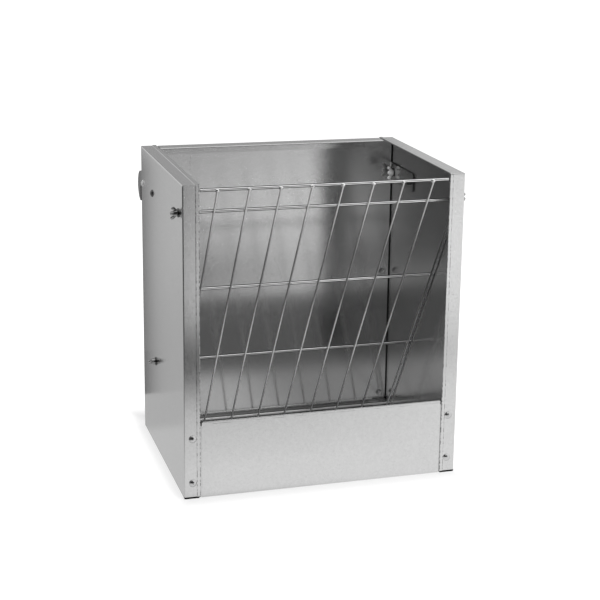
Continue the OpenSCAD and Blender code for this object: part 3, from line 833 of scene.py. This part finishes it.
# card behind the box, by what the top flanges show
backCard = {
    "fromX": -0.5, "toX": 1.5,
    "steps": [(0.0, 0.37), (0.3, 0.4), (0.72, 0.43), (0.85, 0.58), (1.1, 0.61)],
}


def backLevel(tree, axes):
    ends = (backCard["fromX"], backCard["toX"])
    return placeRamp(tree, axes[0], ends, backCard["steps"], -500, 0)


# glowing slats inside the tray that only rays from the back panel meet: a painted reflection of the
# lit floor of the tray and painted shade on the inner side of its wall
traySlats = {
    "count": 18, "tall": 8 * mm, "lift": 2 * mm, "edge": 2 * mm, "front": 14 * mm, "back": 6 * mm,
    "wallIn": 3 * sheet, "wallTop": 6 * mm,
    "wall": 0.105, "left": 0.53, "right": 0.28, "bounced": 1.4,
    "fromX": -0.08, "toX": 0.11, "fromY": -0.13, "toY": -0.02,
}


def trayLevel(tree, axes):
    look = traySlats
    across = smoothStep(tree, axes[0], look["fromX"], look["toX"], -700, 0)
    deep = smoothStep(tree, axes[1], look["fromY"], look["toY"], -700, 200)
    level = mixLevels(tree, across, look["left"], look["right"], -500, 0)
    # a little brighter to rays that come by way of the right side panel
    heading = addNode(tree, "ShaderNodeSeparateXYZ", -700, 400)
    ray = addNode(tree, "ShaderNodeNewGeometry", -900, 400)
    link(tree, ray.outputs["Incoming"], heading.inputs[0])
    fromRight = mathNode(tree, "GREATER_THAN", heading.outputs[0], 0.0, -500, 400)
    bounced = mixLevels(tree, fromRight, 1.0, look["bounced"], -300, 400)
    level = mathNode(tree, "MULTIPLY", level, bounced, -100, 200)
    return mixLevels(tree, deep, look["wall"], level, 100, 100)


def makeTraySlats():
    look = traySlats
    bm = bmesh.new()
    left, right = trayLow.x + look["edge"], trayHigh.x - look["edge"]
    near, far = trayLow.y + look["front"], backLow.y - look["back"]
    low, gaps = look["lift"], look["count"] - 1
    rows = [(near + (far - near) * k / gaps, low + look["tall"]) for k in range(look["count"])]
    for y, high in rows + [(trayLow.y + look["wallIn"], trayHigh.z - look["wallTop"])]:
        corners = [(left, y, low), (left, y, high), (right, y, high), (right, y, low)]
        bm.faces.new([bm.verts.new(corner) for corner in corners])
    mesh = bpy.data.meshes.new("tray_slats")
    bm.to_mesh(mesh)
    bm.free()
    material = glowMaterial("traySlats", trayLevel)
    tree = material.node_tree
    glow = next(node for node in tree.nodes if node.type == "EMISSION")
    out = next(node for node in tree.nodes if node.type == "OUTPUT_MATERIAL")
    clear = addNode(tree, "ShaderNodeBsdfTransparent", 300, 200)
    back = addNode(tree, "ShaderNodeNewGeometry", 300, 400)
    mixed = addNode(tree, "ShaderNodeMixShader", 500, 200)
    link(tree, back.outputs["Backfacing"], mixed.inputs[0])
    link(tree, glow.outputs[0], mixed.inputs[1])
    link(tree, clear.outputs[0], mixed.inputs[2])
    link(tree, mixed.outputs[0], out.inputs[0])
    stageObject("tray_slats", mesh, material)


# flags and cards: material, level and corners
stageCards = {
    # dark: front left, far left, and behind the camera
    "flag_card": ("flagCard", 0.035, [
        (-0.12, -0.79, 0), (-0.12, -0.79, 1.5), (-1.7, -1.3, 1.5), (-1.7, -1.3, 0)]),
    "left_flag": ("leftFlag", 0.12, [
        (-1.9, -3, 0), (-1.9, 0.8, 0), (-1.9, 0.8, 2.6), (-1.9, -3, 2.6)]),
    "front_card": ("frontCard", 0.05, [
        (-2.5, -2.7, 0.2), (1.6, -2.7, 0.2), (1.6, -2.7, 2.4), (-2.5, -2.7, 2.4)]),
    # grey: left and behind
    "left_card": ("leftCard", leftLevel, [
        (-0.23, 0.31, 0), (-0.23, 0.31, 1.2), (-1.6, 0.31, 1.2), (-1.6, 0.31, 0)]),
    "back_card": ("backCard", backLevel, [
        (-1.6, 1.7, 0.5), (2.0, 1.7, 0.5), (2.0, 1.7, 2.2), (-1.6, 1.7, 2.2)]),
}


def seenRays(tree, x, y):
    # 1 for camera, glossy and transmission rays, 0 for diffuse ones
    rays = addNode(tree, "ShaderNodeLightPath", x, y).outputs
    seen = mathNode(tree, "ADD", rays["Is Camera Ray"], rays["Is Glossy Ray"], x + 200, y)
    return mathNode(tree, "ADD", seen, rays["Is Transmission Ray"], x + 350, y, clamp=True)


def contactLevel(tree, axes):
    # a little less glow where the box stands, so that its soft contact shade shows
    def beyond(axis, edge, y):
        distance = mathNode(tree, "ABSOLUTE", axis, 0.0, -700, y)
        return mathNode(tree, "SUBTRACT", distance, edge, -600, y)

    aside = beyond(axes[0], sideX, -500)
    aside = mathNode(tree, "MULTIPLY", aside, stageLook["sideFade"], -500, -500)
    ahead = beyond(axes[1], -frontY, -700)
    away = mathNode(tree, "MAXIMUM", aside, ahead, -400, -600)
    reach = smoothStep(tree, away, 0, stageLook["contactReach"], -300, -600)
    beside = mathNode(tree, "SUBTRACT", aside, ahead, -400, -800)
    beside = smoothStep(tree, beside, -stageLook["cornerSoft"], stageLook["cornerSoft"], -300, -800)
    contact = mixLevels(tree, beside, stageLook["contactGlow"], stageLook["sideGlow"], -200, -800)
    return mixLevels(tree, reach, contact, stageLook["floorGlow"], -100, -600)


def makeFloorMaterial():
    floor = bpy.data.materials.new("studioFloor")
    floor.use_nodes = True
    tree = floor.node_tree
    tree.nodes.clear()
    skin = addNode(tree, "ShaderNodeBsdfDiffuse", 0, 100)
    tone = stageLook["floorTone"]
    skin.inputs["Color"].default_value = (tone, tone, tone, 1)
    axes = addNode(tree, "ShaderNodeSeparateXYZ", -900, -500)
    link(tree, addNode(tree, "ShaderNodeTexCoord", -1100, -500).outputs["Object"], axes.inputs[0])
    glow = addNode(tree, "ShaderNodeEmission", 100, -200)
    seen = seenRays(tree, -400, -200)
    level = mathNode(tree, "MULTIPLY", seen, contactLevel(tree, axes.outputs), 50, -350)
    link(tree, level, glow.inputs["Strength"])
    both = addNode(tree, "ShaderNodeAddShader", 300, 0)
    link(tree, skin.outputs[0], both.inputs[0])
    link(tree, glow.outputs[0], both.inputs[1])
    out = addNode(tree, "ShaderNodeOutputMaterial", 500, 0)
    link(tree, both.outputs[0], out.inputs[0])
    return floor


def makeStage():
    far = stageLook["floorSize"]
    corners = levelCorners((-far, -far), (far, far), 0)
    stagePlane("studio_floor", corners, makeFloorMaterial(), metalOnly=False)
    # what the metal sees of the floor
    corners = levelCorners(floorCard["low"], floorCard["high"], floorCard["lift"])
    stagePlane("floor_card", corners, glowMaterial("floorCard", floorLevel))
    makeTraySlats()
    for name, (glow, level, corners) in stageCards.items():
        stagePlane(name, corners, glowMaterial(glow, level))


# the main lamp, a low one on the bars, and a narrow one through the open top on the wing nut inside
lampLook = {
    "key": {"kind": "AREA", "power": 34.0, "size": 1.8,
            "place": (0.7, -0.5, 2.3), "target": (0, 0, 0.2)},
    "low": {"kind": "AREA", "power": 9.0, "size": 0.5,
            "place": (0.3, -1.25, 0.3), "target": (0, -0.1, 0.2)},
    "spot": {"kind": "SPOT", "power": 6.0, "size": 0.02, "angle": 5, "soft": 0.5,
             "place": (0.05, -0.05, 1.1), "target": middle("right_hook_wing_nut")},
}


def makeLamp(name, look):
    lamp = bpy.data.lights.new(name, look["kind"])
    lamp.energy = look["power"]
    if look["kind"] == "AREA":
        lamp.size = look["size"]
    else:
        lamp.shadow_soft_size = look["size"]
        lamp.spot_size = math.radians(look["angle"])
        lamp.spot_blend = look["soft"]
    shown = bpy.data.objects.new(name, lamp)
    shown.location = look["place"]
    shown.visible_glossy = False
    aim = Vector(look["target"]) - shown.location
    shown.rotation_euler = aim.to_track_quat("-Z", "Y").to_euler()
    scene.collection.objects.link(shown)


def makeLight():
    world = bpy.data.worlds.new("studio")
    scene.world = world
    world.use_nodes = True
    tree = world.node_tree
    tree.nodes.clear()
    seen = seenRays(tree, -600, 0)
    level = mixLevels(tree, seen, stageLook["worldDiffuse"], stageLook["worldGlow"], -100, 0)
    glow = addNode(tree, "ShaderNodeBackground", 100, 0)
    glow.inputs["Color"].default_value = (1, 1, 1, 1)
    link(tree, level, glow.inputs["Strength"])
    out = addNode(tree, "ShaderNodeOutputWorld", 300, 0)
    link(tree, glow.outputs[0], out.inputs[0])
    for name, look in lampLook.items():
        makeLamp(name, look)
    scene.view_settings.view_transform = "Standard"


makeStage()
makeLight()
print("stage and light made")


# camera at the photograph's place, from a fit to the corners of the box
cameraPlace = {
    "location": (-0.66115, -2.30355, 0.9431), "yaw": 17.575, "pitch": -14.667, "roll": 1.039,
    "lens": 89.33, "shiftX": -0.0536, "shiftY": -0.0565,
}


def makeCamera():
    yaw, pitch, roll = (math.radians(cameraPlace[key]) for key in ("yaw", "pitch", "roll"))
    flat = math.cos(pitch)
    forward = Vector((math.sin(yaw) * flat, math.cos(yaw) * flat, math.sin(pitch)))
    level = Vector((math.cos(yaw), -math.sin(yaw), 0))
    up = level.cross(forward)
    right = level * math.cos(roll) + up * math.sin(roll)
    top = up * math.cos(roll) - level * math.sin(roll)
    lens = bpy.data.cameras.new("camera")
    lens.lens = cameraPlace["lens"]
    lens.shift_x = cameraPlace["shiftX"]
    lens.shift_y = cameraPlace["shiftY"]
    camera = bpy.data.objects.new("camera", lens)
    turn = Matrix((right, top, -forward)).transposed().to_4x4()
    camera.matrix_world = Matrix.Translation(cameraPlace["location"]) @ turn
    scene.collection.objects.link(camera)
    scene.camera = camera


makeCamera()
print("camera placed")
